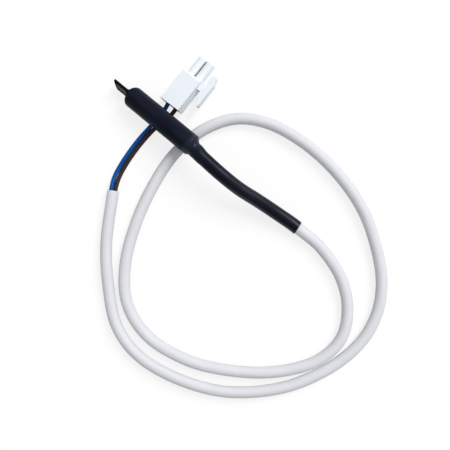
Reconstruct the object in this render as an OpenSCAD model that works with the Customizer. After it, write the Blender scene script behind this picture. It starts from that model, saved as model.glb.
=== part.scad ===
// Temperature sensor probe with a two-core cable and a two-way in-line plug, in millimetres.
// It lies on a flat surface at z = 0: the probe points along +X with its tip down on the surface,
// its neck rides over the cable, and the cable runs round in two open turns to the plug.
// The origin is on that surface, under the middle of the probe and its sleeve.

/* [Capsule] */
// Outer diameter of the closed capsule that holds the sensor
capsule_d = 8; // [7.4:0.1:9]
// Length of the capsule from its mouth to its closed end
capsule_len = 33.2; // [33:0.1:45]
// Thickness of the capsule's wall
capsule_wall = 0.6; // [0.4:0.05:0.8]
// Thickness of the capsule's closed end
capsule_end = 1; // [0.6:0.1:2]
// Radius of the rounded corner at the closed end
capsule_round = 2; // [1.4:0.1:2.6]

/* [Heat shrink sleeve] */
// Thickness of the recovered sleeve
sleeve_wall = 0.4; // [0.3:0.05:0.55]
// Length of the neck between the sleeve's thin part and its barrel
neck_len = 2.8; // [2:0.1:3.6]
// Width of the pinched fin at the tip
fin_w = 6.4; // [5:0.1:7.4]
// Length of the fin beyond the domed end
fin_len = 7.1; // [4:0.1:10]
// How much further the fin's upper edge reaches than its lower edge
fin_slant = 1.25; // [0:0.05:1.5]
// Lean of the fin from upright, in degrees
fin_lean = 16; // [0:1:25]
// Thickness of the adhesive film between the fin's two walls
fin_film = 0.2; // [0.15:0.05:0.4]

/* [Cable] */
// Outer diameter of the cable's jacket
cable_d = 4.8; // [4.6:0.1:5]
// How far the jacket reaches into the capsule
jacket_in = 4; // [2:0.5:5]
// Clear height between the barrel and the cable that passes under it
rest_gap = 0.65; // [0.6:0.05:1.5]

/* [Cores] */
// Outer diameter of each insulated core
core_d = 1.6; // [1.4:0.05:1.65]
// Diameter of each core's bare conductor
strand_d = 0.8; // [0.6:0.05:0.84]
// Distance between the two cores inside the cable
core_pitch = 1.75; // [1.75:0.05:2.2]
// Insulated length of the blue core inside the capsule
tail_blue = 6; // [4:0.5:6]
// Insulated length of the brown core inside the capsule
tail_brown = 12.5; // [12.5:0.5:13.5]
// Length of bare conductor at each end of a core
strand_len = 3; // [2:0.25:3.25]

/* [Sensor] */
// Diameter of the thermistor bead
bead_d = 2.6; // [2.2:0.1:3.4]
// Length of the thermistor bead
bead_len = 4; // [3:0.25:5]
// Gap between the bead and the inside of the capsule's end
bead_inset = 1.2; // [0.6:0.1:2]
// Diameter of each thermistor lead
lead_d = 0.4; // [0.3:0.05:0.45]
// Distance between the two leads
lead_pitch = 1.5; // [1.4:0.05:1.6]
// Outer diameter of the insulating sleeve on each lead
lead_sleeve_d = 0.9; // [0.7:0.05:1.1]
// Outer diameter of each splice tube
splice_d = 1.6; // [1.4:0.05:1.7]
// Bore of each splice tube
splice_bore = 0.9; // [0.86:0.02:1]
// Length of each splice tube
splice_len = 5.5; // [5:0.25:5.75]

/* [Plug housing] */
// Distance between the two contacts
pitch = 4.2; // [4.1:0.05:4.6]
// Diameter of each round silo
silo_d = 3.9; // [3.7:0.05:4]
// Length of the silos in front of the body
silo_len = 8.4; // [7:0.1:10]
// Chamfer round the silos' front edge
silo_chamfer = 0.4; // [0.1:0.05:0.45]
// Width of the body across the two contacts
body_w = 9.4; // [9.2:0.1:12]
// Height of the body
body_h = 5.6; // [5.2:0.1:7]
// Length of the body, with its rear flange
body_len = 15; // [14.5:0.5:18]
// Radius of the body's long edges
body_round = 0.3; // [0.2:0.05:1]
// Chamfer along the front edges of the body, away from the latch
body_chamfer = 0.6; // [0.2:0.05:0.8]
// Thickness of the rear flange
flange_t = 0.8; // [0.4:0.1:1.5]
// How far the flange stands out on the side away from the latch
flange_lip = 0.7; // [0.3:0.1:1.5]
// Diameter of the cavities in the body
cavity_d = 3.4; // [3.1:0.05:3.5]
// Diameter of the bores in the silos
silo_bore = 2.9; // [2.75:0.05:3]
// Thickness of the silos' front wall
silo_front = 0.8; // [0.5:0.1:1.2]
// Diameter of the pin hole in each silo's front wall
pin_hole = 1.9; // [1.7:0.05:2.3]
// Turn of the plug about its own length, latch side up, in degrees
plug_roll = 17; // [10:1:22]

/* [Latch] */
// Height of the latch arm and its web
latch_h = 2.4; // [1.8:0.1:3.4]
// How far the arm's outer side stands out from the body
latch_reach = 5.05; // [4.6:0.05:5.6]
// Width of the slot between the body and the arm, beside the web
latch_gap = 1.85; // [1:0.05:2.2]
// Thickness of the web that the arm rocks on
web_t = 3.4; // [2.4:0.1:4]
// How far the hook reaches in front of the body
hook_len = 5.1; // [4.6:0.1:6]
// Thickness of the arm behind its hook
hook_t = 1.9; // [1.5:0.05:2.2]
// Depth of the notch between the hook and the body's front corner
latch_notch = 1.35; // [0.8:0.05:1.6]
// How far the hook's barb stands in from the arm
barb = 1.25; // [0.8:0.05:1.4]
// Length of the thumb end behind the body's front face
thumb_len = 9.2; // [7:0.1:12]
// Thickness of the thumb end
thumb_t = 1.35; // [1:0.05:1.8]

/* [Contacts] */
// Thickness of the contacts' sheet metal
sheet = 0.25; // [0.2:0.05:0.3]
// Outer diameter of the contacts' round sockets
socket_d = 2.5; // [2.2:0.05:2.6]
// Length of the round sockets
socket_len = 7.6; // [6:0.2:8]
// Length of the crimp on the conductor
wire_crimp = 2.6; // [2:0.1:3.5]
// Length of the crimp on the insulation
jacket_crimp = 2.4; // [2:0.1:3]
// How far each crimp is rolled round its wire, in degrees
crimp_turn = 330; // [300:1:340]
// How far the open strip beside the crimps is rolled, in degrees
strip_turn = 160; // [120:1:180]
// How far the round socket is rolled, in degrees
socket_turn = 345; // [330:1:350]

/* [Hidden] */

$fn = 64;

// Clearance of a sleeve or ring that hugs what it is on
snug = 0.02;
// Inset of a swept wall where it starts inside a turned one
seam = 0.03;
// Overlap along the axis where a swept wall starts inside a turned one
seat = 0.15;
// Clearance between the sleeve's thin part and the cable in it
cable_fit = 0.05;
// Clearance between the sleeve's nose and the capsule's rounded end
nose_fit = 0.06;
// A cut reaches this far past the face it opens
past = 1;

cable_r = cable_d / 2;
core_r = core_d / 2;
capsule_r = capsule_d / 2;
bore_r = capsule_r - capsule_wall;
barrel_r = capsule_r + snug + sleeve_wall;
thin_r = cable_r + cable_fit + sleeve_wall;
fin_t = 2 * sleeve_wall + fin_film;

// Distances along the probe's axis, from the neck's thin end towards the tip
inner_shift = sleeve_wall / 2;
mouth_z = neck_len + inner_shift;
capsule_top = mouth_z + capsule_len;
dome_z = capsule_top - capsule_round;
nose_round = capsule_round + snug + sleeve_wall;
nose_z = dome_z + nose_round;
fin_z = nose_z + fin_len;
jacket_z = mouth_z + jacket_in;
potting_z = capsule_top - capsule_end;
bead_z = potting_z - bead_inset - bead_len / 2;
splice_lap = 0.5;
strand_gap = 0.5;
sleeve_lap = 0.3;

// Where the probe lies: its neck's thin end, seen from above, and the cable that it crosses
neck_x = 4;
axis_y = 0.5;
crossing_x = 9.7;

// Lowest point of the fin under the probe's axis, and the axis over the cable that it crosses
fin_drop = (fin_w - fin_t) / 2 * cos(fin_lean) + fin_t / 2;
fin_foot = fin_z - fin_slant / 2;
axis_over_cable = cable_r + rest_gap + barrel_r;

// Sine of the probe's tilt, with its fin on the surface and its barrel just clear of the cable
function tilt_sine(steps, s) = steps == 0 ? s :
    let (c = sqrt(1 - s * s))
    tilt_sine(steps - 1, (cable_r + axis_over_cable / c - fin_drop * c)
        / (fin_foot - (crossing_x - neck_x) / c));

tilt = asin(tilt_sine(12, 0.2));
neck_height = fin_foot * sin(tilt) + fin_drop * cos(tilt);
neck_point = [neck_x, axis_y, neck_height];
tip_dir = [cos(tilt), 0, -sin(tilt)];

// The end of the sleeve, where the cable comes out level
exit_point = [-47.8, -2, thin_r];
exit_dir = [-1, 0, 0];

// Route of the sleeve's thin part seen from above, between the neck and the exit
sleeve_plan = [[-1, 1.5], [-11, 1.8], [-19.5, 1.4], [-28, 0.1], [-37.5, -1.1]];

// Route of the free cable seen from above, from the exit to the stripped end
cable_plan = [
    [-47.8, -2], [-60, -2], [-74, 2], [-84.5, 10], [-90.5, 21.5], [-88.5, 35],
    [-78.5, 49], [-64, 60.5], [-48, 68.5], [-29.5, 71.5], [-14, 66.5], [-3, 54.5],
    [4.5, 38.5], [9, 22], [10.5, 7], [8, -7.5], [0.5, -20], [-12, -27.5],
    [-29, -30.5], [-46.5, -29.5], [-63, -25], [-77, -17], [-88.5, -7], [-95.5, 5],
    [-97.5, 19], [-94, 35], [-85, 52], [-70, 67], [-52.5, 76], [-33, 80],
    [-17, 76.5], [-3.5, 66], [8.5, 53], [20, 35]
];

// Routes of the two wires between the cable's end and the plug: x, y and height above the surface
blue_plan = [
    [23.3, 30.5, 0.4], [24.6, 25, 0.1], [25.4, 18.5, 0], [25.7, 12, 0], [25.5, 5.5, 0],
    [25.5, 0, 0], [25.5, -2.8, 0.6], [25.4, -5, 2]
];
brown_plan = [
    [21.4, 30, 0.1], [22.8, 25, 0], [23.6, 19, 0], [23.8, 12.5, 0], [23.7, 6, 0],
    [23, 1, 0], [22.2, -2.4, 1.2], [21.6, -5, 3.1]
];

// Place of the plug: the middle of its body's front face, and its turn about the vertical
plug_x = 24.04;
plug_y = -21.8;
plug_yaw = 1.5;
// The body's middle stands this far from the contacts' middle, away from the latch
body_off = 0.35;
body_left = body_w / 2 + body_off;
body_right = body_w / 2 - body_off;
// How far the body's rounded lower edge and the flange's lip hang below the plug's own axis
flank_drop = (body_h / 2 - body_round) * cos(plug_roll);
body_drop = flank_drop + (body_left - body_round) * sin(plug_roll) + body_round;
flange_drop = flank_drop + (body_left + flange_lip) * sin(plug_roll);
plug_pitch = asin(max(0, flange_drop - body_drop) / body_len);
plug_point = [plug_x, plug_y, body_drop];

// Rounded bottom of the latch's notch
notch_round = 0.35;
// Rounded tip of the hook: share of its width from the barb, and distance back from its end
hook_tip = [[0, 2.7], [0, 1.2], [0.19, 0.4], [0.44, 0], [0.65, 0.5], [0.73, 1.4], [1, 3.8]];
// Corners of the thumb end, and how much narrower its end is
thumb_round = 0.6;
thumb_taper = 0.25;

// Contacts: places along the plug, from the body's front face
socket_play = 0.3;
socket_front = silo_len - silo_front - socket_play;
socket_rear = socket_front - socket_len;
neck_gap = 1.4;
wire_crimp_y = socket_rear - neck_gap - wire_crimp;
crimp_gap = 0.7;
jacket_crimp_y = wire_crimp_y - crimp_gap - jacket_crimp;
wire_end_y = wire_crimp_y - crimp_gap / 2;

// Rings and sides of the swept tubes
cable_rings = 56;
cable_sides = 12;
wire_rings = 13;
wire_sides = 8;
sleeve_rings = 20;
sleeve_sides = 24;
nose_sides = 32;

function unit(v) = v / norm(v);

// Point at u spans along the smooth curve through p, which leaves p's ends towards d0 and d1
function spline(p, u, d0, d1) =
    let (
        n = len(p),
        i = min(floor(u), n - 2),
        t = u - i,
        b = p[i],
        c = p[i + 1],
        a = i > 0 ? p[i - 1] : c - 2 * norm(c - b) * d0,
        d = i < n - 2 ? p[i + 2] : b + 2 * norm(c - b) * d1
    )
    b + t / 2 * (c - a + t * (2 * a - 5 * b + 4 * c - d + t * (3 * b - a - 3 * c + d)));

// Direction of that curve at u
function spline_dir(p, u, d0, d1) =
    u <= 0 ? d0 : u >= len(p) - 1 ? d1 :
    unit(spline(p, u + 0.01, d0, d1) - spline(p, u - 0.01, d0, d1));

// Ring of n points of radius r round c, square to the direction d
function ring(c, d, r, n) =
    let (e = unit(cross([0, 0, 1], d)), f = cross(d, e))
    [for (i = [0:n - 1]) c + r * (cos(360 * i / n) * e + sin(360 * i / n) * f)];

// Triangles between m rings of n points that start at point k, facing in or out
function wall_faces(n, m, k, inward) = [
    for (j = [0:m - 2]) for (i = [0:n - 1])
        let (
            a = k + j * n + i,
            b = k + j * n + (i + 1) % n
        )
        each inward ? [[a, b, b + n], [a, b + n, a + n]] : [[a, b + n, b], [a, a + n, b + n]]
];

// Triangles of the flat ring between an outer ring from point k and an inner one from point l
function rim_faces(n, k, l, front) = [
    for (i = [0:n - 1])
        let (
            j = (i + 1) % n
        )
        each front ? [[k + i, l + j, l + i], [k + i, k + j, l + j]]
            : [[k + i, l + i, l + j], [k + i, l + j, k + j]]
];

// Solid skinned over a list of rings
module skin(rings) {
    n = len(rings[0]);
    m = len(rings);
    first = [for (i = [0:n - 1]) i];
    last = [for (i = [0:n - 1]) m * n - 1 - i];
    polyhedron([for (r = rings) each r], concat([first], wall_faces(n, m, 0, false), [last]));
}

// Open tube skinned over a list of outer rings and as many inner rings
module hollow_skin(outer, inner) {
    n = len(outer[0]);
    m = len(outer);
    k = m * n;
    polyhedron(
        [for (r = concat(outer, inner)) each r],
        concat(
            wall_faces(n, m, 0, false),
            wall_faces(n, m, k, true),
            rim_faces(n, 0, k, true),
            rim_faces(n, k - n, 2 * k - n, false)
        )
    );
}

// Rings of radius r along the smooth curve through p, none of them below the surface
function route_rings(p, r, sides, count, d0, d1) = [
    for (i = [0:count - 1])
        let (
            u = i * (len(p) - 1) / (count - 1),
            c = spline(p, u, d0, d1)
        )
        ring([c.x, c.y, max(c.z, r)], spline_dir(p, u, d0, d1), r, sides)
];

// Places children with +Z along the probe's axis, from the neck's thin end to the tip
module along_probe() {
    translate(neck_point) rotate([0, 90 + tilt, 0]) children();
}

// Places children in the plug's own frame: X towards the latch, Y out of the silos
module in_plug() {
    translate(plug_point) rotate([0, 0, 180 + plug_yaw]) rotate([-plug_pitch, -plug_roll, 0])
        children();
}

// The same placing for a point and for a direction
function turn_x(v, a) = [v.x, v.y * cos(a) - v.z * sin(a), v.y * sin(a) + v.z * cos(a)];
function turn_y(v, a) = [v.x * cos(a) + v.z * sin(a), v.y, v.z * cos(a) - v.x * sin(a)];
function turn_z(v, a) = [v.x * cos(a) - v.y * sin(a), v.x * sin(a) + v.y * cos(a), v.z];
function plug_turn(v) = turn_z(turn_y(turn_x(v, -plug_pitch), -plug_roll), 180 + plug_yaw);
function plug_at(v) = plug_point + plug_turn(v);

// Section of the neck's smooth step between two radii, steeper towards the barrel
neck_steps = 12;
neck_bias = 1.4;
function neck_curve(low, high, shift) = [
    for (i = [0:neck_steps])
        let (t = i / neck_steps)
        [low + (high - low) * (1 - cos(180 * pow(t, neck_bias))) / 2, neck_len * t + shift]
];

// Stadium-shaped ring in the fin's lean, a half width and b half thickness, cut at a slant
function nose_ring(z, a, b, slant) = [
    for (i = [0:nose_sides - 1])
        let (
            t = 360 * (i + 0.5) / nose_sides,
            x = sign(cos(t)) * (a - b) + b * cos(t),
            y = b * sin(t)
        )
        [
            x * cos(fin_lean) - y * sin(fin_lean),
            x * sin(fin_lean) + y * cos(fin_lean),
            z - slant * x / fin_w
        ]
];

// Rings of the nose from the barrel's end to the fin's end: corner radius round, inset w of the
// fin, and radius edge where the nose starts
nose_turns = [0:15:90];
nose_centre = capsule_r - capsule_round;
// Fillet at the fin's root: share of its length, and share of the half thickness that is left
root_steps = [[0.1, 0.62], [0.3, 0.3], [0.65, 0.08], [1, 0]];
root_len = 1.1;
function nose_rings(round, w, edge) =
    let (
        a = fin_w / 2 - w,
        b = fin_t / 2 - w,
        top = dome_z + round
    )
    concat(
        [nose_ring(dome_z - seat, edge, edge, 0)],
        [
            for (t = nose_turns)
                let (turned = nose_centre + (edge - nose_centre) * cos(t))
                nose_ring(dome_z + round * sin(t), max(turned, a + (edge - a) * cos(t)), turned, 0)
        ],
        [
            for (s = root_steps)
                nose_ring(top + root_len * s.x, a, b + (nose_centre - b) * s.y, 0)
        ],
        [nose_ring(fin_z, a, b, fin_slant)]
    );

// Body and silos are square to the plug's length, so their sections run along Y
module along_plug(y) {
    translate([0, y, 0]) rotate([-90, 0, 0]) children();
}

// Heat-shrink sleeve: pinched fin, barrel, neck and thin part in one skin
module sleeve_barrel() {
    outer = neck_curve(thin_r, barrel_r, 0);
    inner = neck_curve(thin_r - sleeve_wall, capsule_r + snug, inner_shift);
    rotate_extrude()
        polygon(concat(
            [[thin_r, -seat]],
            outer,
            [[barrel_r, dome_z], [capsule_r + snug, dome_z]],
            [for (i = [neck_steps:-1:0]) inner[i]],
            [[thin_r - sleeve_wall, -seat]]
        ));
}

module sleeve_nose() {
    outer = nose_rings(nose_round, 0, barrel_r - seam);
    inner = nose_rings(capsule_round + nose_fit, sleeve_wall, capsule_r + nose_fit);
    hollow_skin(outer, inner);
}

sleeve_reach = neck_x - exit_point.x;
// Height of the sleeve's thin part at x: a smooth fall from the neck's slope to level at the exit
function sleeve_height(x) =
    let (t = (neck_x - x) / sleeve_reach)
    neck_height * (2 * t - 3) * t * t + neck_height
        + sleeve_reach * tan(tilt) * t * (1 - t) * (1 - t)
        + exit_point.z * (3 - 2 * t) * t * t;

sleeve_route = concat(
    [neck_point],
    [for (p = sleeve_plan) [p.x, p.y, sleeve_height(p.x)]],
    [exit_point]
);

function sleeve_route_rings(r) =
    route_rings(sleeve_route, r, sleeve_sides, sleeve_rings, -tip_dir, exit_dir);

module sleeve_thin() {
    inner_r = (cable_r + cable_fit + seam) / cos(180 / sleeve_sides);
    hollow_skin(sleeve_route_rings(thin_r - seam), sleeve_route_rings(inner_r));
}

module heat_shrink() {
    color([0.1, 0.11, 0.13]) {
        along_probe() {
            sleeve_barrel();
            sleeve_nose();
        }
        sleeve_thin();
    }
}

// Adhesive squeezed between the capsule's end and the pinched fin
module tip_adhesive() {
    film = 0.02;
    a = fin_w / 2 - sleeve_wall - film;
    b = fin_film / 2 - film;
    top = capsule_top + nose_fit - film;
    color([0.16, 0.14, 0.1])
        along_probe()
            skin(concat(
                [nose_ring(capsule_top, a, nose_centre - film, 0)],
                [
                    for (s = root_steps)
                        nose_ring(top + root_len * s.x, a, b + (nose_centre - b - film) * s.y, 0)
                ],
                [nose_ring(fin_z - film, a, b, fin_slant)]
            ));
}

// Adhesive that fills the step between the cable and the capsule's mouth
module neck_adhesive() {
    first = 4;
    inner = neck_curve(thin_r - sleeve_wall - snug, capsule_r, inner_shift);
    color([0.16, 0.14, 0.1])
        along_probe()
            rotate_extrude()
                polygon(concat(
                    [[cable_r, inner[first].y]],
                    [for (i = [first:neck_steps]) inner[i]],
                    [[cable_r, mouth_z]]
                ));
}

// Points along an arc of radius r round c, from angle a to angle b
function arc(c, r, a, b) = [
    for (i = [0:8])
        let (t = a + (b - a) * i / 8)
        c + r * [cos(t), sin(t)]
];

// Outline of a round-cornered cup's half section: radius r, corner c, from z0 to z1
function cup_profile(r, c, z0, z1) = concat(
    [[0, z0], [r, z0]],
    arc([r - c, z1 - c], c, 0, 90),
    [[0, z1]]
);

bore_round = capsule_round - capsule_wall;
module sensor_capsule() {
    color([0.85, 0.85, 0.82])
        along_probe()
            difference() {
                rotate_extrude() polygon(cup_profile(capsule_r, capsule_round, mouth_z, capsule_top));
                rotate_extrude() polygon(cup_profile(bore_r, bore_round, mouth_z - past, potting_z));
            }
}

// Side of the axis that each core and lead lies on
function side(k) = k == 1 ? -1 : 1;
function tail(k) = k == 1 ? tail_blue : tail_brown;
function splice_z(k) = jacket_z + tail(k) + splice_lap;
function lead_z(k) = jacket_z + tail(k) + strand_len + strand_gap;

module rod(x, r, z0, z1) {
    translate([0, x, z0]) cylinder(r = r, h = z1 - z0);
}

module core_end(k) {
    along_probe() {
        rod(side(k) * core_pitch / 2, core_r, jacket_z, jacket_z + tail(k));
        rod(side(k) * core_pitch / 2, strand_d / 2, jacket_z, jacket_z + tail(k) + strand_len);
    }
}

module core_end_blue() {
    color([0.1, 0.33, 0.63]) core_end(1);
}

module core_end_brown() {
    color([0.3, 0.2, 0.18]) core_end(2);
}

module splice_tube(k, r, extra) {
    z0 = splice_z(k);
    along_probe() rod(side(k) * core_pitch / 2, r, z0 - extra, z0 + splice_len + extra);
}

module splice(k) {
    difference() {
        splice_tube(k, splice_d / 2, 0);
        splice_tube(k, splice_bore / 2, past);
    }
}

module splice_blue() {
    color([0.75, 0.74, 0.72]) splice(1);
}

module splice_brown() {
    color([0.75, 0.74, 0.72]) splice(2);
}

module lead(k) {
    along_probe() rod(side(k) * lead_pitch / 2, lead_d / 2, lead_z(k), bead_z - bead_len / 4);
}

module thermistor_lead_1() {
    color([0.7, 0.7, 0.72]) lead(1);
}

module thermistor_lead_2() {
    color([0.7, 0.7, 0.72]) lead(2);
}

module lead_tube(k, r, extra) {
    z0 = splice_z(k) + splice_len + sleeve_lap;
    z1 = bead_z - bead_len / 2 - sleeve_lap;
    along_probe() rod(side(k) * lead_pitch / 2, r, z0 - extra, z1 + extra);
}

module lead_sleeve(k) {
    difference() {
        lead_tube(k, lead_sleeve_d / 2, 0);
        lead_tube(k, lead_d / 2, past);
    }
}

module lead_sleeve_1() {
    color([0.8, 0.6, 0.25]) lead_sleeve(1);
}

module lead_sleeve_2() {
    color([0.8, 0.6, 0.25]) lead_sleeve(2);
}

// The bead without its leads' holes: rounder at its top than at its foot, each with a flat this wide
bead_top_flat = 0.26;
bead_foot_flat = 1.56;
module bead_body() {
    top = (bead_d - bead_top_flat) / 2;
    foot = (bead_d - bead_foot_flat) / 2;
    translate([0, 0, bead_z - bead_len / 2])
        rotate_extrude()
            polygon(concat(
                [[0, 0]],
                arc([bead_d / 2 - foot, foot], foot, -90, 0),
                arc([bead_d / 2 - top, bead_len - top], top, 0, 90),
                [[0, bead_len]]
            ));
}

module thermistor_bead() {
    color([0.12, 0.12, 0.12])
        difference() {
            along_probe() bead_body();
            lead(1);
            lead(2);
        }
}

// Potting compound: all of the capsule's inside that the sensor and the cable leave free
module potting() {
    color([0.25, 0.24, 0.22])
        difference() {
            along_probe()
                rotate_extrude() polygon(cup_profile(bore_r, bore_round, mouth_z, potting_z));
            along_probe() rod(0, cable_r, mouth_z - past, jacket_z);
            along_probe() bead_body();
            for (k = [1, 2]) {
                core_end(k);
                lead(k);
                splice_tube(k, splice_d / 2, 0);
                lead_tube(k, lead_sleeve_d / 2, 0);
            }
        }
}

// The cable's stretch inside the sleeve and the capsule
module cable_held() {
    color([0.9, 0.9, 0.92]) {
        along_probe() rod(0, cable_r, -seat, jacket_z);
        skin(sleeve_route_rings(cable_r - seam));
    }
}

// The free cable, laid on the surface
cable_route = [
    for (i = [0:len(cable_plan) - 1])
        [cable_plan[i].x, cable_plan[i].y, i == 0 ? exit_point.z : cable_r]
];
cable_end_dir = unit(cable_route[len(cable_route) - 1] - cable_route[len(cable_route) - 2]);
cable_end = cable_route[len(cable_route) - 1];

module cable() {
    color([0.9, 0.9, 0.92])
        skin(route_rings(cable_route, cable_r, cable_sides, cable_rings, exit_dir, cable_end_dir));
}

// The wires are straight from this far inside the plug
wire_straight = 3;
// The wires leave the jacket side by side, the blue one turned upwards
core_twist = 30;
function core_start(k) =
    let (across = [cable_end_dir.y, -cable_end_dir.x, 0])
    cable_end + side(k) * core_pitch / 2 * (cos(core_twist) * across - [0, 0, sin(core_twist)]);

function wire_route(k) =
    let (plan = k == 1 ? blue_plan : brown_plan)
    concat(
        [core_start(k)],
        [for (p = plan) [p.x, p.y, core_r + p.z]],
        [for (y = [-body_len, wire_straight - body_len, wire_end_y]) plug_at([side(k) * pitch / 2, y, 0])]
    );

module wire(k) {
    plug_dir = plug_turn([0, 1, 0]);
    skin(route_rings(wire_route(k), core_r, wire_sides, wire_rings, cable_end_dir, plug_dir));
    in_plug()
        along_plug(wire_end_y - seat)
            translate([side(k) * pitch / 2, 0, 0]) cylinder(d = strand_d, h = strand_len + seat);
}

module wire_blue() {
    color([0.1, 0.33, 0.63]) wire(1);
}

module wire_brown() {
    color([0.3, 0.2, 0.18]) wire(2);
}

module body_section() {
    left = body_left - body_round;
    right = body_right - body_round;
    z = body_h / 2 - body_round;
    polygon(concat(
        arc([right, z], body_round, 0, 90),
        arc([-left, z], body_round, 90, 180),
        arc([-left, -z], body_round, 180, 270),
        arc([right, -z], body_round, 270, 360)
    ));
}

// Block of the body, with its front edges chamfered above, below and on the side away from the latch
module body_block() {
    cut = sqrt(2) * body_chamfer;
    difference() {
        along_plug(-body_len) linear_extrude(body_len) body_section();
        for (z = [-body_h / 2, body_h / 2])
            translate([0, 0, z]) rotate([45, 0, 0]) cube([2 * body_w, cut, cut], center = true);
        translate([-body_left, 0, 0]) rotate([0, 0, 45]) cube([cut, cut, 2 * body_h], center = true);
    }
}

// Outline of the latch seen from above: web, notch, hook and thumb end of the rocking arm
module latch_outline() {
    root_x = body_right - body_round;
    slot_x = body_right + latch_gap;
    arm_x = body_right + latch_reach;
    hook_x = arm_x - hook_t;
    polygon(concat(
        [[root_x, 0], [body_right, 0]],
        arc([hook_x - notch_round, notch_round - latch_notch], notch_round, 240, 360),
        [for (p = hook_tip) [hook_x - barb + (hook_t + barb) * p.x, hook_len - p.y]],
        [
            [arm_x, thumb_round - thumb_len],
            [arm_x - thumb_taper, -thumb_len],
            [arm_x - thumb_t, thumb_taper - thumb_len],
            [slot_x, -web_t],
            [root_x, -web_t]
        ]
    ));
}

module connector_housing() {
    x = pitch / 2;
    color([0.93, 0.95, 0.98])
        in_plug()
            difference() {
                union() {
                    body_block();
                    translate([-body_left - flange_lip, -body_len, body_round - body_h / 2])
                        cube([flange_lip + body_round, flange_t, body_h - 2 * body_round]);
                    for (k = [-1, 1])
                        translate([k * x, 0, 0]) silo();
                    translate([0, 0, -latch_h / 2]) linear_extrude(latch_h) latch_outline();
                }
                for (k = [-1, 1])
                    translate([k * x, 0, 0]) cavity();
            }
}

module silo() {
    r = silo_d / 2;
    along_plug(0)
        rotate_extrude()
            polygon([
                [0, -past], [r, -past], [r, silo_len - silo_chamfer],
                [r - silo_chamfer, silo_len], [0, silo_len]
            ]);
}

// Stepped bore for one contact, from the rear of the body to the silo's pin hole
module cavity() {
    step_y = -1.2;
    step_len = 0.3;
    funnel = 0.25;
    along_plug(0)
        rotate_extrude()
            polygon([
                [0, -body_len - past],
                [cavity_d / 2 + funnel, -body_len - past],
                [cavity_d / 2 + funnel, -body_len],
                [cavity_d / 2, -body_len + funnel],
                [cavity_d / 2, step_y],
                [silo_bore / 2, step_y + step_len],
                [silo_bore / 2, silo_len - silo_front],
                [pin_hole / 2, silo_len - silo_front],
                [pin_hole / 2, silo_len - funnel],
                [pin_hole / 2 + funnel, silo_len],
                [pin_hole / 2 + funnel, silo_len + past],
                [0, silo_len + past]
            ]);
}

// Rolled sheet metal from y0 with inner radius r0 to y1 with inner radius r1, open on top
module rolled(y0, y1, r0, r1, turn) {
    along_plug(y0)
        rotate([0, 0, 90 - turn / 2])
            rotate_extrude(angle = turn)
                polygon([[r0, 0], [r0 + sheet, 0], [r1 + sheet, y1 - y0], [r1, y1 - y0]]);
}

// Contact rolled from one strip: crimps on the insulation and on the conductor, and a round socket
module contact(k) {
    socket_r = socket_d / 2 - sheet;
    strand_r = strand_d / 2 + snug;
    jacket_r = core_r + snug;
    jacket_top = jacket_crimp_y + jacket_crimp;
    strand_top = wire_crimp_y + wire_crimp;
    in_plug()
        translate([side(k) * pitch / 2, 0, 0]) {
            rolled(jacket_crimp_y, jacket_top, jacket_r, jacket_r, crimp_turn);
            rolled(jacket_top, wire_crimp_y, jacket_r, strand_r, strip_turn);
            rolled(wire_crimp_y, strand_top, strand_r, strand_r, crimp_turn);
            rolled(strand_top, socket_rear, strand_r, socket_r, strip_turn);
            rolled(socket_rear, socket_front, socket_r, socket_r, socket_turn);
        }
}

module contact_blue() {
    color([0.82, 0.7, 0.4]) contact(1);
}

module contact_brown() {
    color([0.82, 0.7, 0.4]) contact(2);
}

heat_shrink();
tip_adhesive();
neck_adhesive();
sensor_capsule();
potting();
thermistor_bead();
thermistor_lead_1();
thermistor_lead_2();
lead_sleeve_1();
lead_sleeve_2();
splice_blue();
splice_brown();
core_end_blue();
core_end_brown();
cable_held();
cable();
wire_blue();
wire_brown();
connector_housing();
contact_blue();
contact_brown();
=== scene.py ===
from math import atan2, copysign, cos, pi, radians, sin

import bpy
from mathutils import Matrix, Vector


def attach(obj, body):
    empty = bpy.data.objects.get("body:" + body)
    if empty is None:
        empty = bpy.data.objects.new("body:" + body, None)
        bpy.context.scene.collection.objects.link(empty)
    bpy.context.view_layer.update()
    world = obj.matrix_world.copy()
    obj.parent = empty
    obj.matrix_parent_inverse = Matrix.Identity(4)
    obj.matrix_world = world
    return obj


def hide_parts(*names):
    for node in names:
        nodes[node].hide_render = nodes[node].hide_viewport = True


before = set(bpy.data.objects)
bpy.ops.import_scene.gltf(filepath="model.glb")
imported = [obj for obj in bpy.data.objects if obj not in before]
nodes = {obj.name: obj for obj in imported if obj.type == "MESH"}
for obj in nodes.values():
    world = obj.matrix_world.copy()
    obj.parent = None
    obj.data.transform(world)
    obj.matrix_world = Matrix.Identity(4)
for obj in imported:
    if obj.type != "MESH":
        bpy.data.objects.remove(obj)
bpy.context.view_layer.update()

scene = bpy.context.scene
MM = 0.001
Y_DIR = Vector((0, 1, 0))
BLACK = (0, 0, 0)
WHITE = (1, 1, 1)

# The photograph was taken from straight above: where its camera stands, and how it is turned
CAMERA_AT = (-0.02407, 0.01619, 0.2924)
CAMERA_TURN = atan2(-0.6446, -0.7644)
LENS_MM = 56.6
SENSOR_MM = 36
NEAR_CLIP = 5 * MM

# The studio's window, up and to the right of the picture: its middle, width, height and power
WINDOW_AT = Vector((-0.19, -2.82, 2.83))
WINDOW_SIZE = (0.9, 2.2)
WINDOW_WATTS = 114
# The floor: half its side, how far it lies under the object, and then its colour and its share of
# glow, each where light falls on it and where the camera sees it
FLOOR_HALF = 2
FLOOR_DROP = 0.02 * MM
FLOOR_COLOUR = (0.6, 1)
FLOOR_GLOW = (0, 0.78)
# The room's light, from level to straight up
ROOM_LIGHT = (0.26, 0.68)
# Its walls as the camera sees them: the rise over which they turn from white to grey, the greys
# away from the window and beside it, and the cosine to the window up to which the first holds
WALLS_RISE = (0.12, 0.4)
WALLS_GREY = (0.12, 0.7)
WALLS_FAR = -0.3

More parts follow.
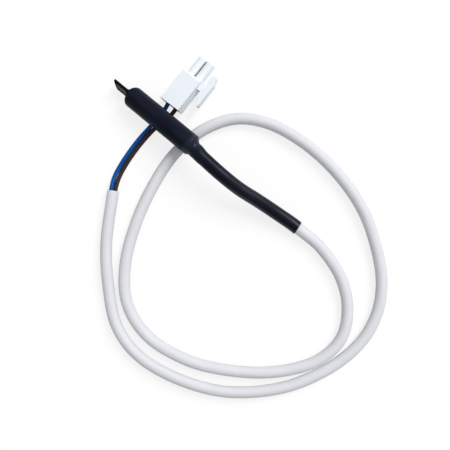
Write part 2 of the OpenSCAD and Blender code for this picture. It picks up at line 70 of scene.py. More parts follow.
# How finely the meshes are divided: points round a ring, and rings along each stretch
CORD_SIDES = 32
SLEEVE_SIDES = 96
CABLE_STEPS = 12
WIRE_STEPS = 10
HELD_RINGS = 12
NECK_RINGS = 24
BARREL_RINGS = 30
DOME_RINGS = 12
ROOT_RINGS = 12
FIN_RINGS = 24

# The cable and its stretch held in the sleeve, the broken edge of its free end, and the sunk bed
# of its cores there
CABLE_R = 2.4 * MM
HELD_PLAY = 0.03 * MM
HELD_R = CABLE_R - HELD_PLAY
EDGE_BREAK = 0.12 * MM
EDGE_MIDDLE = 0.3 * EDGE_BREAK
BED_R = 1.75 * MM
BED_FLOOR_R = 1.7 * MM
BED_DEPTH = 0.5 * MM
JACKET_END = 7 * MM

# The cores and their bare ends
CORE_R = 0.9 * MM
CORE_PITCH = 1.8 * MM
CORE_TWIST = radians(30)
STRAND_R = 0.4 * MM
STRAND_LEN = 3 * MM

# The sleeve's thin part, neck and barrel. The neck widens later as NECK_BIAS grows from 1.
SLEEVE_WALL = 0.4 * MM
THIN_R = 2.85 * MM
BARREL_R = 4.42 * MM
NECK_LEN = 2.8 * MM
NECK_BIAS = 1.4
BARREL_END = 34.2 * MM
# The thin part leaves the barrel to one side and a little wide, and is back on its route and at
# its own radius this far from the neck. The cable in it takes a share of the shift.
NECK_SHIFT = 0.62 * MM
NECK_EXTRA = 0.28 * MM
NECK_FADE = 6.5 * MM
JACKET_SHIFT = 0.55
# The open end is cut a little askew and lies a little inside the exit. The skew fades over the
# first rings.
END_SKEW = radians(6)
SKEW_RINGS = 5
END_INSET = 0.2 * MM

# The sleeve's dome, and the fin with its root. The fin is set to one side and leans, and its end
# slants over its width. ROOT_DIP and ROOT_BEND are powers in the root's curve, and FIN_SQUARE is
# the power of the fin's outline: 1 is an ellipse, and 0 an oblong.
CORNER_R = 2.42 * MM
DOME_FLAT_R = 2 * MM
ROOT_LEN = 1.1 * MM
ROOT_DIP = 0.5
ROOT_BEND = 1.35
FIN_END = 43.72 * MM
FIN_HALF_W = 3.15 * MM
FIN_HALF_T = 0.65 * MM
FIN_SQUARE = 0.35
FIN_SET = 0.3 * MM * Y_DIR
FIN_SLANT = 1.25 * MM
FIN_LEAN = radians(16)

# The probe's axis, from the neck's thin end to the tip
NECK = Vector((0.004, 0.0005, 0.011087))
TIP_DIR = Vector((0.982416, 0, -0.186703)).normalized()
TIP_UP = TIP_DIR.cross(Y_DIR)
FIN_FACE = cos(FIN_LEAN) * Y_DIR + sin(FIN_LEAN) * TIP_UP
FIN_SIDE = sin(FIN_LEAN) * Y_DIR - cos(FIN_LEAN) * TIP_UP
# The flat faces that the jaws pressed into the fin, which get a lighter colour as painted
# reflection of the surroundings: from and to along the axis and across the width, and how
# nearly a face has to look the fin's way
PRESSED = (37.4 * MM, 42.8 * MM, -2 * MM, 0.9 * MM)
PRESSED_FLAT = 0.9

# Routes of the cable, the wires and the sleeve's thin part, seen from above, in metres. A wire's
# third number is its height over where it rests.
EXIT = Vector((-0.0478, -0.002, THIN_R))
EXIT_DIR = Vector((-1, 0, 0))
CABLE_PLAN = [
    (-0.0478, -0.002), (-0.06, -0.002), (-0.074, 0.002), (-0.0845, 0.01), (-0.0905, 0.0215),
    (-0.0885, 0.035), (-0.0785, 0.049), (-0.064, 0.0605), (-0.048, 0.0685), (-0.0295, 0.0715),
    (-0.014, 0.0665), (-0.003, 0.0545), (0.0045, 0.0385), (0.009, 0.022), (0.0105, 0.007),
    (0.008, -0.0075), (0.0005, -0.02), (-0.012, -0.0275), (-0.029, -0.0305), (-0.0465, -0.0295),
    (-0.063, -0.025), (-0.077, -0.017), (-0.0885, -0.007), (-0.0955, 0.005), (-0.0975, 0.019),
    (-0.094, 0.035), (-0.085, 0.052), (-0.07, 0.067), (-0.0525, 0.076), (-0.033, 0.08),
    (-0.017, 0.0765), (-0.0035, 0.066), (0.0085, 0.053), (0.02, 0.035)
]
BLUE_PLAN = [
    (0.0234, 0.0305, 0.0004), (0.0247, 0.025, 0.0001), (0.0255, 0.0185, 0), (0.0258, 0.012, 0),
    (0.0256, 0.0055, 0), (0.0255, 0, 0), (0.0255, -0.0028, 0.0006), (0.0254, -0.005, 0.002)
]
BROWN_PLAN = [
    (0.02165, 0.03, 0.0001), (0.02288, 0.025, 0), (0.02366, 0.019, 0), (0.024, 0.0125, 0),
    (0.0238, 0.006, 0), (0.0231, 0.001, 0), (0.0222, -0.0024, 0.0012), (0.0216, -0.005, 0.0031)
]
SLEEVE_PLAN = [
    (-0.001, 0.0015), (-0.011, 0.0018), (-0.0195, 0.0014), (-0.028, 0.0001), (-0.0375, -0.0011)
]

# The plug's own frame: its middle on the body's front face, its turn, roll and contacts' pitch.
# The wires run straight from its rear face, and end at the contacts.
PLUG_AT = Vector((0.02404, -0.0218, 0.00407953))
PLUG_YAW = radians(181.5)
PLUG_ROLL = radians(-17)
PITCH = 4.2 * MM
BODY_LEN = 15 * MM
STRAIGHT_IN = 3 * MM
WIRE_END = -4.65 * MM

# The mesh layer with each point's place in its tube
TUBE_LAYER = "tube"
# Most of a noise cloud's values lie in this range
CLOUD_RANGE = (0.3, 0.7)
# Noise values between which a scuff fades in
SCUFF_RANGE = (0.6, 0.74)
# Rays that the shaders for rounded edges and for the painted shade in grooves send out, the
# grooves' width, and the openness between which the painted shade fades out
RAY_SAMPLES = 8
GROOVE = 1.2 * MM
GROOVE_RANGE = (0.3, 0.6)
# Noise on moulded pieces: gloss patches and waves as shares of the colour patches' and the
# grain's scale, and the waves' depth as a share of the grain's
GLOSS_SHARE = 3.1
WAVE_SHARE = 1 / 8
WAVE_DEPTH = 3
# Noise on drawn tubes: scales in spots a metre, and depths as shares of the grain's
PATCH_SCALE = 450
SCUFF_SCALE = 900
GLOSS_SCALE = 1500
GRAIN_SCALE = 7000
SWELL_SCALE = 500
SWELL_DEPTH = 6
LINE_DEPTH = 1.5

# Distances along the sleeve from its open end, in metres, and its specular level there: glossy
# over the neck, and dull at the fin
SLEEVE_SHINE = [
    (0, 0.27), (0.015, 0.27), (0.026, 0.37), (0.034, 0.24), (0.043, 0.1), (0.0515, 0.1),
    (0.054, 0.3), (0.0565, 0.3), (0.0575, 0.07), (0.087, 0.07), (0.089, 0), (0.1, 0)
]

# The finishes of drawn tubes and of moulded pieces, as drawn and plastic take them
DRAWN = {
    "sleeve_black": dict(
        dark=(0.0017, 0.0022, 0.0042), light=(0.0026, 0.0035, 0.0066), scuffs=(0.005, 0.007, 0.012),
        gloss=(0.3, 0.37), specular=0.12, lines=2600, depth=0.000012,
        tint=(0.69, 0.765, 1.0), paler=(0.028, 0.05, 3.4), shine=SLEEVE_SHINE),
    # Painted reflection: a lighter warm grey on the fin's flat pressed faces
    "sleeve_pressed_painted_reflection": dict(
        dark=(0.036, 0.032, 0.023), light=(0.056, 0.051, 0.038), scuffs=(0.07, 0.064, 0.05),
        gloss=(0.4, 0.5), specular=0.08, lines=2600, depth=0.00001),
    "jacket_white": dict(
        dark=(0.69, 0.7, 0.74), light=(0.727, 0.736, 0.769), scuffs=(0.71, 0.71, 0.73),
        gloss=(0.45, 0.58), specular=0.25, lines=2000, depth=0.00001),
    "core_blue": dict(
        dark=(0.0032, 0.066, 0.28), light=(0.0044, 0.094, 0.38), scuffs=(0.006, 0.09, 0.34),
        gloss=(0.3, 0.42), specular=0.07, lines=4000, depth=0.000008),
    "core_brown": dict(
        dark=(0.042, 0.022, 0.021), light=(0.06, 0.032, 0.031), scuffs=(0.065, 0.035, 0.03),
        gloss=(0.3, 0.42), specular=0.07, lines=4000, depth=0.000008),
}
MOULDED = {
    "core_stub_blue": dict(
        dark=(0.009, 0.075, 0.3), light=(0.012, 0.1, 0.38), patch=400,
        gloss=(0.3, 0.42), grain=6000, depth=0.000008),
    "core_stub_brown": dict(
        dark=(0.035, 0.02, 0.018), light=(0.055, 0.03, 0.027), patch=400,
        gloss=(0.3, 0.42), grain=6000, depth=0.000008),
    # The housing's colour turns to painted shade, a dark grey, in its narrow grooves
    "housing_white": dict(
        dark=(0.85, 0.905, 0.965), light=(0.88, 0.935, 0.985), patch=200,
        gloss=(0.34, 0.46), grain=7000, depth=0.000006, specular=0.4,
        edges=0.0002, groove_shade=(0.22, 0.22, 0.21)),
    "adhesive": dict(
        dark=(0.02, 0.016, 0.01), light=(0.035, 0.028, 0.018), patch=500,
        gloss=(0.2, 0.35), grain=4000, depth=0.00002),
    "capsule": dict(
        dark=(0.5, 0.5, 0.47), light=(0.62, 0.62, 0.6), patch=300,
        gloss=(0.28, 0.4), grain=5000, depth=0.00001),
    "potting": dict(
        dark=(0.04, 0.037, 0.03), light=(0.06, 0.055, 0.047), patch=700,
        gloss=(0.3, 0.5), grain=4000, depth=0.00002),
    "bead_coat": dict(
        dark=(0.01, 0.01, 0.01), light=(0.02, 0.02, 0.02), patch=900,
        gloss=(0.2, 0.35), grain=6000, depth=0.00001),
    "tinned_wire": dict(
        dark=(0.5, 0.5, 0.52), light=(0.62, 0.62, 0.64), patch=900,
        gloss=(0.25, 0.4), grain=7000, depth=0.000006, metal=1.0),
    "amber_tube": dict(
        dark=(0.5, 0.3, 0.06), light=(0.6, 0.38, 0.09), patch=800,
        gloss=(0.2, 0.35), grain=6000, depth=0.000006),
    "contact_metal": dict(
        dark=(0.6, 0.45, 0.17), light=(0.7, 0.54, 0.24), patch=900,
        gloss=(0.22, 0.36), grain=7000, depth=0.000006, metal=1.0),
}
# The CAD nodes that stay, and the finish of each
NODE_FINISH = {
    "tip_adhesive": "adhesive", "neck_adhesive": "adhesive", "sensor_capsule": "capsule",
    "potting": "potting", "thermistor_bead": "bead_coat", "thermistor_lead_1": "tinned_wire",
    "thermistor_lead_2": "tinned_wire", "lead_sleeve_1": "amber_tube",
    "lead_sleeve_2": "amber_tube", "splice_blue": "tinned_wire", "splice_brown": "tinned_wire",
    "core_end_blue": "core_stub_blue", "core_end_brown": "core_stub_brown",
    "connector_housing": "housing_white", "contact_blue": "contact_metal",
    "contact_brown": "contact_metal"
}


def shares(count):
    """The numbers 1 / count, 2 / count and so on, up to 1."""
    return [i / count for i in range(1, count + 1)]


def smooth(t):
    """Runs from 0 to 1 as t does, and starts and ends level."""
    return t * t * (3 - 2 * t)


def spline(points, start_dir, end_dir, per_span, lowest):
    """Points and directions along the smooth curve through points, which leaves its ends that way.

    No point lies lower than lowest.
    """
    first, last = points[0], points[-1]
    before = points[1] - 2 * (points[1] - first).length * start_dir
    after = points[-2] + 2 * (last - points[-2]).length * end_dir
    p = [before, *points, after]
    found = []
    for i in range(len(points) - 1):
        a, b, c, d = p[i:i + 4]
        square = 2 * a - 5 * b + 4 * c - d
        cube = 3 * b - a - 3 * c + d
        for k in range(per_span):
            t = k / per_span
            at = b + t / 2 * (c - a + t * (square + t * cube))
            at.z = max(at.z, lowest)
            slope = (c - a) / 2 + t * square + 1.5 * t * t * cube
            found.append((at, slope.normalized()))
    found.append((last.copy(), end_dir.copy()))
    return found


def across(d):
    """The level direction across d, and the direction square to both."""
    e = Vector((-d.y, d.x, 0)).normalized()
    return e, d.cross(e)


def circle(at, d, radius):
    """A round ring of a cord, square to d."""
    e, f = across(d)
    angles = (2 * pi * i / CORD_SIDES for i in range(CORD_SIDES))
    return [at + radius * (cos(a) * e + sin(a) * f) for a in angles]


def turned(at, half_w, half_t, d, square=1.0, slant=0.0):
    """A ring of the sleeve, its half width and half thickness turned as the fin leans.

    It changes from an ellipse to a rounded oblong as square falls from 1, and slants along d by
    slant over the fin's width.
    """
    e, f = across(d)
    ring = []
    for i in range(SLEEVE_SIDES):
        a = 2 * pi * (i + 0.5) / SLEEVE_SIDES
        x = half_w * cos(a)
        y = half_t * copysign(abs(sin(a)) ** square, sin(a))
        u = x * cos(FIN_LEAN) - y * sin(FIN_LEAN)
        v = x * sin(FIN_LEAN) + y * cos(FIN_LEAN)
        ring.append(at + v * e - u * f - slant * x / (2 * FIN_HALF_W) * d)
    return ring


def loft(rings, closed=False):
    """Points and faces of a skin over rings: shut by a face at each end, or closed on itself."""
    sides = len(rings[0])
    points = [p for ring in rings for p in ring]
    faces = []
    for j in range(len(rings) if closed else len(rings) - 1):
        low, high = j * sides, (j + 1) % len(rings) * sides
        for i in range(sides):
            k = (i + 1) % sides
            faces.append((low + i, low + k, high + k, high + i))
    if not closed:
        faces.append(tuple(range(sides - 1, -1, -1)))
        faces.append(tuple(range(len(points) - sides, len(points))))
    return points, faces


def tube_places(rings):
    """Each point's place in its tube laid straight: across, up, and the distance along."""
    places = []
    run = 0
    before = None
    for ring in rings:
        centre = sum(ring, Vector()) / len(ring)
        if before is not None:
            run += (centre - before).length
        before = centre
        for i, p in enumerate(ring):
            a = 2 * pi * i / len(ring)
            r = (p - centre).length
            places.append((r * cos(a), r * sin(a), run))
    return places


def build(name, points, faces, along, sharp=40):
    """A smooth-shaded object from points and faces, with edges sharper than that many degrees kept.

    along gives each point's place round and along a tube, for grain that follows its bends.
    """
    mesh = bpy.data.meshes.new(name)
    mesh.from_pydata(points, [], faces)
    layer = mesh.attributes.new(TUBE_LAYER, "FLOAT_VECTOR", "POINT")
    layer.data.foreach_set("vector", [v for place in along for v in place])
    mesh.validate()
    mesh.shade_smooth()
    mesh.set_sharp_from_angle(angle=radians(sharp))
    obj = bpy.data.objects.new(name, mesh)
    scene.collection.objects.link(obj)
    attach(obj, "root")
    return obj


def camera():
    """The photograph's camera, which looks straight down."""
    data = bpy.data.cameras.new("camera")
    data.lens = LENS_MM
    data.sensor_width = SENSOR_MM
    data.clip_start = NEAR_CLIP
    obj = bpy.data.objects.new("camera", data)
    obj.location = CAMERA_AT
    obj.rotation_euler = (0, 0, CAMERA_TURN)
    scene.collection.objects.link(obj)
    scene.camera = obj


def cable():
    """The free cable: its jacket ends in a square cut with the cores' bed a little sunk."""
    points = [EXIT] + [Vector((x, y, CABLE_R)) for x, y in CABLE_PLAN[1:]]
    end_dir = (points[-1] - points[-2]).normalized()
    path = spline(points, EXIT_DIR, end_dir, CABLE_STEPS, CABLE_R)
    rings = [circle(at, d, CABLE_R) for at, d in path]
    at, d = path[-1]
    rings[-1] = circle(at - EDGE_BREAK * d, d, CABLE_R)
    for back, radius in ((EDGE_MIDDLE, CABLE_R - EDGE_MIDDLE), (0, CABLE_R - EDGE_BREAK),
                         (0, BED_R), (BED_DEPTH, BED_FLOOR_R)):
        rings.append(circle(at - back * d, d, radius))
    obj = build("cable_jacket", *loft(rings), along=tube_places(rings))
    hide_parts("cable")
    return obj, at, d


def plug_point(x, y, z):
    """A point of the plug's own frame in the row frame."""
    x, z = (x * cos(PLUG_ROLL) + z * sin(PLUG_ROLL), z * cos(PLUG_ROLL) - x * sin(PLUG_ROLL))
    x, y = (x * cos(PLUG_YAW) - y * sin(PLUG_YAW), x * sin(PLUG_YAW) + y * cos(PLUG_YAW))
    return PLUG_AT + Vector((x, y, z))


def wire(name, plan, side, cable_end, cable_dir, node):
    """One insulated core from the jacket's end into the plug, with its bare end."""
    level = Vector((cable_dir.y, -cable_dir.x, 0))
    aside = cos(CORE_TWIST) * level - Vector((0, 0, sin(CORE_TWIST)))
    start = cable_end + side * CORE_PITCH / 2 * aside
    points = [start] + [Vector((x, y, CORE_R + z)) for x, y, z in plan]
    for y in (-BODY_LEN, STRAIGHT_IN - BODY_LEN, WIRE_END):
        points.append(plug_point(side * PITCH / 2, y, 0))
    end_dir = (plug_point(0, 1, 0) - plug_point(0, 0, 0)).normalized()
    path = spline(points, cable_dir, end_dir, WIRE_STEPS, CORE_R)
    first, d = path[0]
    rings = [circle(first - BED_DEPTH * d, d, CORE_R)]
    rings += [circle(at, d, CORE_R) for at, d in path]
    at, d = path[-1]
    rings.append(circle(at, d, STRAND_R))
    rings.append(circle(at + STRAND_LEN * d, d, STRAND_R))
    obj = build(name, *loft(rings), along=tube_places(rings))
    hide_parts(node)
    return obj


def on_axis(z):
    """The point of the probe's axis at that distance from the neck."""
    return NECK + z * TIP_DIR


def neck_share(s):
    """Share of the neck's shift and extra width, at distance s from its thin end.

    The distance is negative in the barrel.
    """
    return smooth(max(0, 1 - s / NECK_FADE if s >= 0 else 1 + s / NECK_LEN))


def neck_shift(s):
    """How far the sleeve lies to one side, at distance s from the neck's thin end."""
    return NECK_SHIFT * neck_share(s) * Y_DIR


def sleeve_path():
    """The sleeve's thin part, from the exit to the neck.

    Each place has its centre, its direction and its distance from the neck along the sleeve.
    """
    reach = NECK.x - EXIT.x
    slope = -TIP_DIR.z / TIP_DIR.x
    points = [NECK]
    for x, y in SLEEVE_PLAN:
        t = (NECK.x - x) / reach
        fall = smooth(t)
        z = NECK.z * (1 - fall) + EXIT.z * fall + reach * slope * t * (1 - t) ** 2
        points.append(Vector((x, y, z)))
    points.append(EXIT)
    path = spline(points, -TIP_DIR, EXIT_DIR, CABLE_STEPS, THIN_R)
    run = 0
    found = []
    for i, (at, d) in enumerate(path):
        if i:
            run += (at - path[i - 1][0]).length
        found.append((at, -d, run))
    return found[::-1]


def sleeve_rings(inset):
    """Rings of the sleeve's outer skin, or of its inner one, inset by the wall."""
    rings = []
    for i, (at, d, s) in enumerate(sleeve_path()):
        radius = THIN_R + NECK_EXTRA * neck_share(s) - inset
        d = Matrix.Rotation(END_SKEW * max(0, 1 - i / SKEW_RINGS), 3, "Z") @ d
        if i == 0:
            at = at + END_INSET * d
        rings.append(turned(at + neck_shift(s), radius, radius, d))

    shift = inset / 2
    for t in shares(NECK_RINGS):
        z = NECK_LEN * t
        low = THIN_R + NECK_EXTRA * neck_share(-z)
        radius = low + (BARREL_R - low) * (1 - cos(pi * t ** NECK_BIAS)) / 2 - inset
        rings.append(turned(on_axis(z + shift) + neck_shift(-z), radius, radius, TIP_DIR))

    barrel = BARREL_R - inset
    start = NECK_LEN + shift
    for t in shares(BARREL_RINGS):
        rings.append(turned(on_axis(start + (BARREL_END - start) * t), barrel, barrel, TIP_DIR))

    corner = CORNER_R - inset
    half_w = FIN_HALF_W - inset
    half_t = FIN_HALF_T - inset
    for t in shares(DOME_RINGS):
        a = pi / 2 * t
        thick = DOME_FLAT_R + (barrel - DOME_FLAT_R) * cos(a)
        wide = max(thick, half_w + (barrel - half_w) * cos(a))
        rings.append(turned(on_axis(BARREL_END + corner * sin(a)), wide, thick, TIP_DIR))

    top = BARREL_END + corner
    for t in shares(ROOT_RINGS):
        thick = half_t + (DOME_FLAT_R - half_t) * (1 - t ** ROOT_DIP) ** ROOT_BEND
        at = on_axis(top + ROOT_LEN * t) + FIN_SET * t
        rings.append(turned(at, half_w, thick, TIP_DIR, square=1 - (1 - FIN_SQUARE) * t))

    start = top + ROOT_LEN
    for t in shares(FIN_RINGS):
        at = on_axis(start + (FIN_END - start) * t) + FIN_SET
        rings.append(turned(at, half_w, half_t, TIP_DIR, square=FIN_SQUARE, slant=FIN_SLANT * t))
    return rings


def held_cable():
    """The cable's stretch inside the sleeve, up to where its jacket ends in the capsule."""
    rings = [circle(at + JACKET_SHIFT * neck_shift(s), d, HELD_R) for at, d, s in sleeve_path()]
    for t in shares(HELD_RINGS):
        z = JACKET_END * t
        rings.append(circle(on_axis(z) + JACKET_SHIFT * neck_shift(-z), TIP_DIR, HELD_R))
    obj = build("held_jacket", *loft(rings), along=tube_places(rings))
    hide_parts("cable_held")
    return obj


def heat_shrink():
    """The sleeve in one piece, from its open end to the fin: an outer and an inner skin."""
    outer = sleeve_rings(0)
    inner = sleeve_rings(SLEEVE_WALL)
    obj = build("heat_shrink_skin", *loft(outer + inner[::-1], closed=True), sharp=50,
                along=tube_places(outer) + tube_places(inner)[::-1])
    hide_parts("heat_shrink")
    return obj


def shader(name):
    """A new material with its tree and its shader."""
    mat = bpy.data.materials.new(name)
    mat.use_nodes = True
    return mat, mat.node_tree, mat.node_tree.nodes["Principled BSDF"]


def object_places(tree):
    """Coordinates of the piece itself."""
    return tree.nodes.new("ShaderNodeTexCoord").outputs["Object"]


def tube_straight(tree):
    """Coordinates in which the piece's tube lies straight, its length along Z."""
    node = tree.nodes.new("ShaderNodeAttribute")
    node.attribute_type = "GEOMETRY"
    node.attribute_name = TUBE_LAYER
    return node.outputs["Vector"]


def z_of(tree, vector):
    """The Z of a vector."""
    node = tree.nodes.new("ShaderNodeSeparateXYZ")
    tree.links.new(vector, node.inputs["Vector"])
    return node.outputs["Z"]


def cloud(tree, coords, scale, detail=3.0, rough=0.5):
    """Soft noise, at that many spots a metre."""
    node = tree.nodes.new("ShaderNodeTexNoise")
    node.inputs["Scale"].default_value = scale
    node.inputs["Detail"].default_value = detail
    node.inputs["Roughness"].default_value = rough
    tree.links.new(coords, node.inputs["Vector"])
    return node.outputs["Fac"]


def long_cloud(tree, coords, scale, longer, detail, rough=0.5):
    """A cloud whose spots are that many times longer along Z."""
    node = tree.nodes.new("ShaderNodeMapping")
    tree.links.new(coords, node.inputs["Vector"])
    node.inputs["Scale"].default_value = (1, 1, 1 / longer)
    return cloud(tree, node.outputs["Vector"], scale, detail, rough)


def ramp(tree, value, stops):
    """The colour at value between stops of place and colour."""
    node = tree.nodes.new("ShaderNodeValToRGB")
    tree.links.new(value, node.inputs["Fac"])
    elements = node.color_ramp.elements
    while len(elements) < len(stops):
        elements.new(0.5)
    for element, (at, colour) in zip(elements, stops):
        element.position = at
        element.color = (*colour, 1)
    return node.outputs["Color"]


def shades(tree, noise, dark, light):
    """A cloud's colours, from dark to light."""
    return ramp(tree, noise, list(zip(CLOUD_RANGE, (dark, light))))


def spread(tree, value, low, high, start=0, end=1):
    """low where value is start and high where it is end; each may be a number or an output."""
    node = tree.nodes.new("ShaderNodeMapRange")
    for socket, given in (("Value", value), ("From Min", start), ("From Max", end),
                          ("To Min", low), ("To Max", high)):
        if isinstance(given, (int, float)):
            node.inputs[socket].default_value = given
        else:
            tree.links.new(given, node.inputs[socket])
    return node.outputs["Result"]


def mixed(tree, fac, a, b):
    """Colour a where fac is 0 and colour b where it is 1; either may be a plain colour."""
    node = tree.nodes.new("ShaderNodeMix")
    node.data_type = "RGBA"
    tree.links.new(fac, node.inputs["Factor"])
    for value, socket in ((a, node.inputs[6]), (b, node.inputs[7])):
        if isinstance(value, tuple):
            socket.default_value = (*value, 1)
        else:
            tree.links.new(value, socket)
    return node.outputs[2]


def bump(tree, bsdf, heights, normal=None):
    """Adds bumps one on the other: (height field, depth in metres) each."""
    for value, depth in heights:
        node = tree.nodes.new("ShaderNodeBump")
        node.inputs["Distance"].default_value = depth
        tree.links.new(value, node.inputs["Height"])
        if normal:
            tree.links.new(normal, node.inputs["Normal"])
        normal = node.outputs["Normal"]
    tree.links.new(normal, bsdf.inputs["Normal"])


def soft_edges(tree, radius):
    """The surface's normal with its sharp edges rounded by that radius."""
    node = tree.nodes.new("ShaderNodeBevel")
    node.samples = RAY_SAMPLES
    node.inputs["Radius"].default_value = radius
    return node.outputs["Normal"]


def grooves(tree):
    """1 deep in the piece's narrow grooves and 0 in the open: where painted shade goes."""
    node = tree.nodes.new("ShaderNodeAmbientOcclusion")
    node.only_local = True
    node.samples = RAY_SAMPLES
    node.inputs["Distance"].default_value = GROOVE
    return ramp(tree, node.outputs["AO"], list(zip(GROOVE_RANGE, (WHITE, BLACK))))


def plastic(name, dark, light, patch, gloss, grain, depth, metal=0.0, specular=0.5, edges=0.0,
            groove_shade=None):
    """A moulded surface: colour in soft patches, roughness in a range, fine grain, rounded edges.

    patch and grain are noise scales, depth is the grain's and edges the rounding's radius, in
    metres, and groove_shade is the colour of the painted shade in narrow grooves.
    """
    mat, tree, bsdf = shader(name)
    coords = object_places(tree)
    colour = shades(tree, cloud(tree, coords, patch, detail=4), dark, light)
    # Painted shade: the colour darkens to a grey in narrow grooves, where less light reaches
    if groove_shade:
        colour = mixed(tree, grooves(tree), colour, groove_shade)
    tree.links.new(colour, bsdf.inputs["Base Color"])
    sheen = spread(tree, cloud(tree, coords, patch * GLOSS_SHARE), *gloss, *CLOUD_RANGE)
    tree.links.new(sheen, bsdf.inputs["Roughness"])
    fine = cloud(tree, coords, grain, detail=2)
    waves = cloud(tree, coords, grain * WAVE_SHARE, detail=2)
    bump(tree, bsdf, [(waves, depth * WAVE_DEPTH), (fine, depth)],
         soft_edges(tree, edges) if edges else None)
    bsdf.inputs["Metallic"].default_value = metal
    bsdf.inputs["Specular IOR Level"].default_value = specular
    return mat


def drawn(name, dark, light, scuffs, gloss, specular, lines, depth, tint=None, paler=None,
          shine=None):
    """A drawn tube's surface: colour in long soft patches, lines along it, grain and scuffs.

    lines is their noise scale, and depth the grain's in metres. tint colours its gloss. paler
    changes the colour along the tube: from and to distances, and the factor at the end. shine has
    distances along the tube and the specular level there.
    """
    mat, tree, bsdf = shader(name)
    coords = tube_straight(tree)
    patches = long_cloud(tree, coords, PATCH_SCALE, longer=4, detail=4)
    colour = shades(tree, patches, dark, light)
    if paler:
        start, end, factor = paler
        share = spread(tree, z_of(tree, coords), 0, 1, start, end)
        there = [tuple(factor * c for c in shade) for shade in (dark, light)]
        colour = mixed(tree, share, colour, shades(tree, patches, *there))
    worn = long_cloud(tree, coords, SCUFF_SCALE, longer=2, detail=6, rough=0.65)
    scuffed = ramp(tree, worn, list(zip(SCUFF_RANGE, (BLACK, WHITE))))
    tree.links.new(mixed(tree, scuffed, colour, scuffs), bsdf.inputs["Base Color"])
    sheen = spread(tree, cloud(tree, coords, GLOSS_SCALE), *gloss, *CLOUD_RANGE)
    tree.links.new(sheen, bsdf.inputs["Roughness"])
    swell = long_cloud(tree, coords, SWELL_SCALE, longer=2.5, detail=2)
    lined = long_cloud(tree, coords, lines, longer=60, detail=3)
    fine = cloud(tree, coords, GRAIN_SCALE, detail=2)
    bump(tree, bsdf, [(swell, depth * SWELL_DEPTH), (lined, depth * LINE_DEPTH), (fine, depth)])
    bsdf.inputs["Specular IOR Level"].default_value = specular
    if shine:
        reach = shine[-1][0]
        way = spread(tree, z_of(tree, coords), 0, 1, 0, reach)
        level = ramp(tree, way, [(at / reach, (v, v, v)) for at, v in shine])
        tree.links.new(level, bsdf.inputs["Specular IOR Level"])
    if tint:
        bsdf.inputs["Specular Tint"].default_value = (*tint, 1)
    return mat


def dress(obj, mat):
    """Gives an object one material in place of any it has."""
    obj.data.materials.clear()
    obj.data.materials.append(mat)


def paint_fin_reflection(skin, mat):
    """Gives the fin's flat faces, where the jaws pressed it, a lighter material: painted
    reflection.
    """
    skin.data.materials.append(mat)
    z_from, z_to, x_from, x_to = PRESSED
    for face in skin.data.polygons:
        at = face.center - NECK
        x = at.dot(FIN_SIDE)
        z = at.dot(TIP_DIR) + FIN_SLANT * x / (2 * FIN_HALF_W)
        flat = abs(face.normal.dot(FIN_FACE)) > PRESSED_FLAT
        if flat and z_from < z < z_to and x_from < x < x_to:
            face.material_index = 1


def seen_by_camera(tree):
    """1 where the camera looks, straight or by a mirror or glass, and 0 elsewhere."""
    rays = tree.nodes.new("ShaderNodeLightPath")
    value = rays.outputs["Is Camera Ray"]
    for other in ("Is Glossy Ray", "Is Transmission Ray"):
        node = tree.nodes.new("ShaderNodeMath")
        node.operation = "MAXIMUM"
        tree.links.new(value, node.inputs[0])
        tree.links.new(rays.outputs[other], node.inputs[1])
        value = node.outputs[0]
    return value


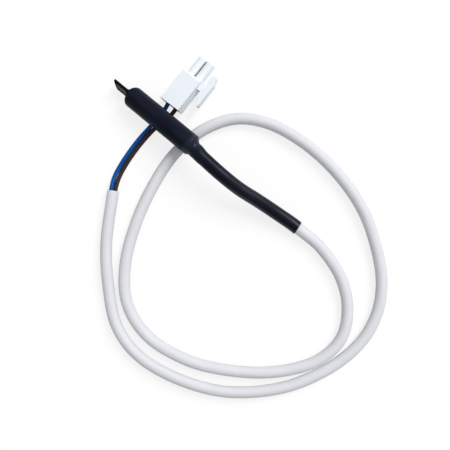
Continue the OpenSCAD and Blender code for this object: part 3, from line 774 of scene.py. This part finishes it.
def floor():
    """A plain pale floor, just under what lies on it."""
    mesh = bpy.data.meshes.new("floor")
    r = FLOOR_HALF
    mesh.from_pydata([(-r, -r, 0), (r, -r, 0), (r, r, 0), (-r, r, 0)], [], [(0, 1, 2, 3)])
    obj = bpy.data.objects.new("floor", mesh)
    obj.location = (0, 0, -FLOOR_DROP)
    scene.collection.objects.link(obj)
    mat, tree, bsdf = shader("floor")
    bsdf.inputs["Roughness"].default_value = 1
    bsdf.inputs["Specular IOR Level"].default_value = 0
    seen = seen_by_camera(tree)
    tree.links.new(spread(tree, seen, *FLOOR_COLOUR), bsdf.inputs["Base Color"])
    glow = tree.nodes.new("ShaderNodeEmission")
    glow.inputs["Color"].default_value = (*WHITE, 1)
    mix = tree.nodes.new("ShaderNodeMixShader")
    tree.links.new(spread(tree, seen, *FLOOR_GLOW), mix.inputs["Fac"])
    tree.links.new(bsdf.outputs["BSDF"], mix.inputs[1])
    tree.links.new(glow.outputs["Emission"], mix.inputs[2])
    tree.links.new(mix.outputs["Shader"], tree.nodes["Material Output"].inputs["Surface"])
    dress(obj, mat)


def room():
    """A pale room: its light comes mostly from above, and its walls look white low down."""
    world = bpy.data.worlds.new("studio")
    scene.world = world
    world.use_nodes = True
    tree = world.node_tree
    way = tree.nodes.new("ShaderNodeTexCoord").outputs["Generated"]
    up = z_of(tree, way)
    facing = tree.nodes.new("ShaderNodeVectorMath")
    facing.operation = "DOT_PRODUCT"
    facing.inputs[1].default_value = WINDOW_AT.normalized()
    tree.links.new(way, facing.inputs[0])
    grey = spread(tree, facing.outputs["Value"], *WALLS_GREY, start=WALLS_FAR)
    walls = spread(tree, up, 1, grey, *WALLS_RISE)
    light = spread(tree, up, *ROOM_LIGHT)
    back = tree.nodes["Background"]
    tree.links.new(spread(tree, seen_by_camera(tree), light, walls), back.inputs["Strength"])
    back.inputs["Color"].default_value = (*WHITE, 1)


def window():
    """The tall window, a soft lamp that faces the row's origin."""
    data = bpy.data.lights.new("window", "AREA")
    data.shape = "RECTANGLE"
    data.size, data.size_y = WINDOW_SIZE
    data.energy = WINDOW_WATTS
    obj = bpy.data.objects.new("window", data)
    obj.location = WINDOW_AT
    obj.rotation_mode = "QUATERNION"
    obj.rotation_quaternion = WINDOW_AT.to_track_quat("Z", "Y")
    scene.collection.objects.link(obj)


camera()
jacket, cable_end, cable_dir = cable()
blue = wire("core_blue_wire", BLUE_PLAN, -1, cable_end, cable_dir,
            "wire_blue")
brown = wire("core_brown_wire", BROWN_PLAN, 1, cable_end, cable_dir,
             "wire_brown")
skin = heat_shrink()
held = held_cable()

finish = {name: drawn(name, **look) for name, look in DRAWN.items()}
finish.update((name, plastic(name, **look)) for name, look in MOULDED.items())
for node_name, look_name in NODE_FINISH.items():
    dress(nodes[node_name], finish[look_name])
dress(jacket, finish["jacket_white"])
dress(held, finish["jacket_white"])
dress(blue, finish["core_blue"])
dress(brown, finish["core_brown"])
dress(skin, finish["sleeve_black"])
# Painted reflection on the fin's flat pressed faces
paint_fin_reflection(skin, finish["sleeve_pressed_painted_reflection"])

floor()
room()
window()

scene.view_settings.view_transform = "Standard"
